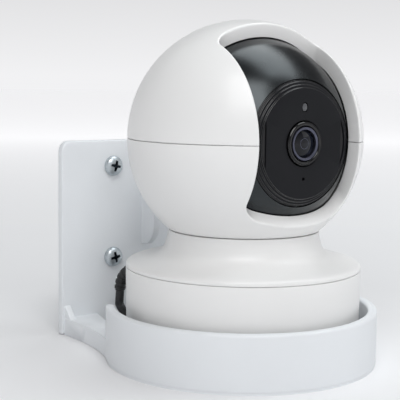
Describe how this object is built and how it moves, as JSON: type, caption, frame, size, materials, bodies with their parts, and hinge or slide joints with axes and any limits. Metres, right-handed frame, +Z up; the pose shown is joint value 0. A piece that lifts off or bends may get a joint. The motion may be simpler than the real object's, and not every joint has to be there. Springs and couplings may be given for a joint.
{
  "type": "baby monitor camera",
  "caption": "White pan and tilt baby monitor camera with a black tilting eye, seated in a wall bracket with screws and a power lead.",
  "frame": {"origin": "middle of the footprint on the surface the bracket stands on, leaving the power lead out", "axes": "+Z up along the pan axis, -Y the way the camera and the bracket face, +X to the camera's left hand seen from in front as the right"},
  "size_m": [0.1115, 0.1772, 0.1234],
  "materials": {
    "bracket": "moulded white plastic",
    "white": "satin white plastic",
    "black_gloss": "polished black plastic",
    "black_matte": "fine matt black plastic",
    "lens_glass": "dark coated glass",
    "barrel": "anodised",
    "zinc": "zinc plated",
    "steel": "plain",
    "rubber": "soft black",
    "inner_plastic": "natural moulded plastic",
    "board": "green circuit board",
    "lead": "black flexible sheath",
    "antenna": "amber flexible strip"
  },
  "bodies": {
    "base": {"wall_bracket": "bracket", "wall_screw_1": "zinc", "wall_screw_2": "zinc", "wall_screw_3": "zinc", "wall_screw_4": "zinc", "base_housing": "white", "base_plate": "white", "base_screw_1": "zinc", "base_screw_2": "zinc", "base_screw_3": "zinc", "foot_pad_1": "rubber", "foot_pad_2": "rubber", "foot_pad_3": "rubber", "foot_pad_4": "rubber", "top_cover": "white", "pan_post": "inner_plastic", "pan_retainer": "steel", "pan_motor": "steel", "speaker": "black_matte", "power_board": "board", "power_socket": "steel", "power_plug": "lead", "strain_relief": "lead", "power_cord": "lead", "cord_coil": "lead", "cord_tie": "lead", "cord_tail": "lead", "usb_plug_body": "lead", "usb_plug_shell": "steel"},
    "head": {"pan_gear": "inner_plastic", "head_frame": "inner_plastic", "upper_shell": "white", "lower_shell": "white", "tilt_bracket_left": "inner_plastic", "tilt_bracket_right": "inner_plastic", "tilt_motor": "steel", "main_board": "board", "wifi_antenna": "antenna"},
    "eye": {"ball_front_shell": "black_gloss", "ball_rear_shell": "black_gloss", "face_panel": "black_matte", "lens_bezel": "black_gloss", "lens_barrel": "barrel", "lens_glass": "lens_glass", "sensor_board": "board", "infrared_board": "board", "status_window": "black_gloss", "microphone": "steel", "card_socket": "steel", "reset_switch": "steel", "tilt_gear": "inner_plastic", "tilt_pin_left": "steel", "tilt_pin_right": "steel"},
    "pan_drive": {"pan_pinion": "inner_plastic"},
    "tilt_drive": {"tilt_pinion": "inner_plastic"},
    "reset": {"reset_button": "black_matte"}
  },
  "joints": [
    {"name": "pan", "type": "hinge", "parent": "base", "child": "head", "pos_m": [0, -0.0164, 0.035], "axis": [0, 0, 1], "range_deg": [-175, 175]},
    {"name": "pan_motor_shaft", "type": "hinge", "parent": "base", "child": "pan_drive", "pos_m": [-0.0288, -0.0164, 0.031], "axis": [0, 0, 1], "range_deg": [-880, 880]},
    {"name": "tilt", "type": "hinge", "parent": "head", "child": "eye", "pos_m": [0, -0.0164, 0.0809], "axis": [1, 0, 0], "range_deg": [-74, 40]},
    {"name": "tilt_motor_shaft", "type": "hinge", "parent": "head", "child": "tilt_drive", "pos_m": [-0.0266, -0.0164, 0.0673], "axis": [1, 0, 0], "range_deg": [-100, 180]},
    {"name": "reset_press", "type": "slide", "parent": "eye", "child": "reset", "axis": [0, 0.4384, 0.8988], "range_m": [0, 0.0008], "stiffness_N_per_m": 400}
  ],
  "couplings": [
    {"joint": "pan_motor_shaft", "follows": "pan", "ratio": -5},
    {"joint": "tilt_motor_shaft", "follows": "tilt", "ratio": -2.4}
  ]
}
